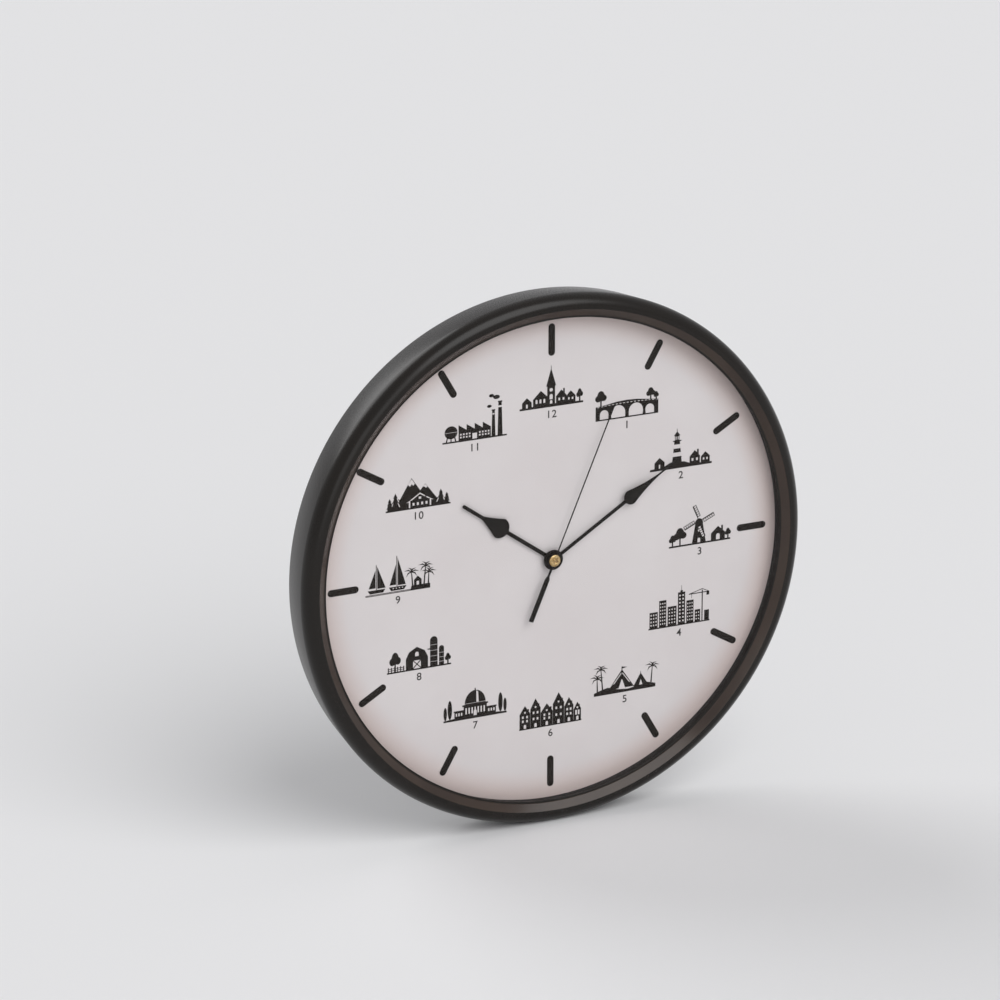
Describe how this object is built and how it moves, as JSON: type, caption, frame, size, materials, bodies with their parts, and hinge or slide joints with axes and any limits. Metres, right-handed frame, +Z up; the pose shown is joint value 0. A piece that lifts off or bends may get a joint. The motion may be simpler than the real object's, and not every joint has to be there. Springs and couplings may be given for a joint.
{
  "type": "wall clock",
  "caption": "Round wall clock: black ring case, pale dial with bar hour marks, three hands, battery quartz movement with its gear train, and a keyhole hanger behind.",
  "frame": {"origin": "on the hands' axis, in the plane of the wall that the clock hangs on", "axes": "+Y into the wall, so the dial faces -Y; +Z up through twelve o'clock; +X to the right seen from the front"},
  "size_m": [0.3, 0.0335, 0.3],
  "materials": {
    "case_black": "satin moulded ABS, near black",
    "spacer_black": "matt moulded, black",
    "clear_lens": "clear, polished",
    "dial_card": "matt printed card, pale warm grey",
    "dial_ink": "matt black printing ink",
    "shell_black": "fine matt texture, black",
    "screw_steel": "zinc plated",
    "hanger_steel": "zinc plated sheet",
    "movement_black": "moulded, black",
    "board_green": "solder mask on laminate",
    "chip_epoxy": "black epoxy drop",
    "crystal_can": "nickel plated can",
    "lamination_steel": "stamped lamination",
    "bobbin_white": "natural nylon",
    "copper_wire": "enamelled copper wire",
    "magnet_grey": "sintered ferrite",
    "gear_white": "natural acetal",
    "turned_brass": "turned brass",
    "knob_grey": "moulded, dark grey",
    "contact_nickel": "nickel plated strip",
    "cell_jacket": "plain printed jacket",
    "cell_cap": "nickel plated cap",
    "hand_black": "matt black lacquer"
  },
  "bodies": {
    "case": {"bezel_ring": "case_black", "lens": "clear_lens", "spacer_ring": "spacer_black", "dial_plate": "dial_card", "hour_marks": "dial_ink", "back_shell": "shell_black", "case_screws": "screw_steel", "hanger_plate": "hanger_steel", "hanger_screws": "screw_steel", "movement_case": "movement_black", "movement_cover": "movement_black", "circuit_board": "board_green", "driver_chip": "chip_epoxy", "quartz_crystal": "crystal_can", "stator": "lamination_steel", "coil_core": "lamination_steel", "coil_bobbin": "bobbin_white", "coil_winding": "copper_wire", "contact_positive": "contact_nickel", "contact_negative": "contact_nickel"},
    "minute_train": {"minute_hand": "hand_black", "cannon_pinion": "turned_brass", "centre_wheel": "gear_white"},
    "hour_train": {"hour_hand": "hand_black", "hour_wheel": "gear_white"},
    "second_train": {"second_hand": "hand_black", "second_hand_bush": "turned_brass", "seconds_wheel": "gear_white"},
    "third_train": {"third_wheel": "gear_white"},
    "intermediate_train": {"intermediate_wheel": "gear_white"},
    "rotor": {"rotor_magnet": "magnet_grey", "rotor_pinion": "gear_white"},
    "motion_work": {"motion_wheel": "gear_white"},
    "knob": {"setting_knob": "knob_grey"},
    "battery": {"aa_cell": "cell_jacket", "aa_cell_cap": "cell_cap"}
  },
  "joints": [
    {"name": "minute_hand_spin", "type": "hinge", "parent": "case", "child": "minute_train", "pos_m": [0, -0.018, 0], "axis": [0, 1, 0], "continuous": true},
    {"name": "hour_hand_spin", "type": "hinge", "parent": "case", "child": "hour_train", "pos_m": [0, -0.02, 0], "axis": [0, 1, 0], "continuous": true},
    {"name": "second_hand_spin", "type": "hinge", "parent": "case", "child": "second_train", "pos_m": [0, -0.015, 0], "axis": [0, 1, 0], "continuous": true},
    {"name": "third_wheel_spin", "type": "hinge", "parent": "case", "child": "third_train", "pos_m": [0.0054, -0.01, 0.00935], "axis": [0, 1, 0], "continuous": true},
    {"name": "intermediate_wheel_spin", "type": "hinge", "parent": "case", "child": "intermediate_train", "pos_m": [-0.00764, -0.008, 0.00764], "axis": [0, 1, 0], "continuous": true},
    {"name": "rotor_spin", "type": "hinge", "parent": "case", "child": "rotor", "pos_m": [-0.01491, -0.008, 0.01184], "axis": [0, 1, 0], "continuous": true},
    {"name": "motion_wheel_spin", "type": "hinge", "parent": "case", "child": "motion_work", "pos_m": [0.0096, -0.014, 0], "axis": [0, 1, 0], "continuous": true},
    {"name": "setting_knob_spin", "type": "hinge", "parent": "case", "child": "knob", "pos_m": [0.01866, -0.006, 0.00423], "axis": [0, 1, 0], "continuous": true},
    {"name": "battery_slide", "type": "slide", "parent": "case", "child": "battery", "axis": [0, 1, 0], "range_m": [0, 0.03]}
  ],
  "couplings": [
    {"joint": "hour_hand_spin", "follows": "minute_hand_spin", "ratio": 0.083333},
    {"joint": "second_hand_spin", "follows": "minute_hand_spin", "ratio": 60},
    {"joint": "third_wheel_spin", "follows": "minute_hand_spin", "ratio": -7.5},
    {"joint": "intermediate_wheel_spin", "follows": "minute_hand_spin", "ratio": -300},
    {"joint": "rotor_spin", "follows": "minute_hand_spin", "ratio": 1800},
    {"joint": "motion_wheel_spin", "follows": "minute_hand_spin", "ratio": -0.33333},
    {"joint": "setting_knob_spin", "follows": "minute_hand_spin", "ratio": 0.85714}
  ]
}
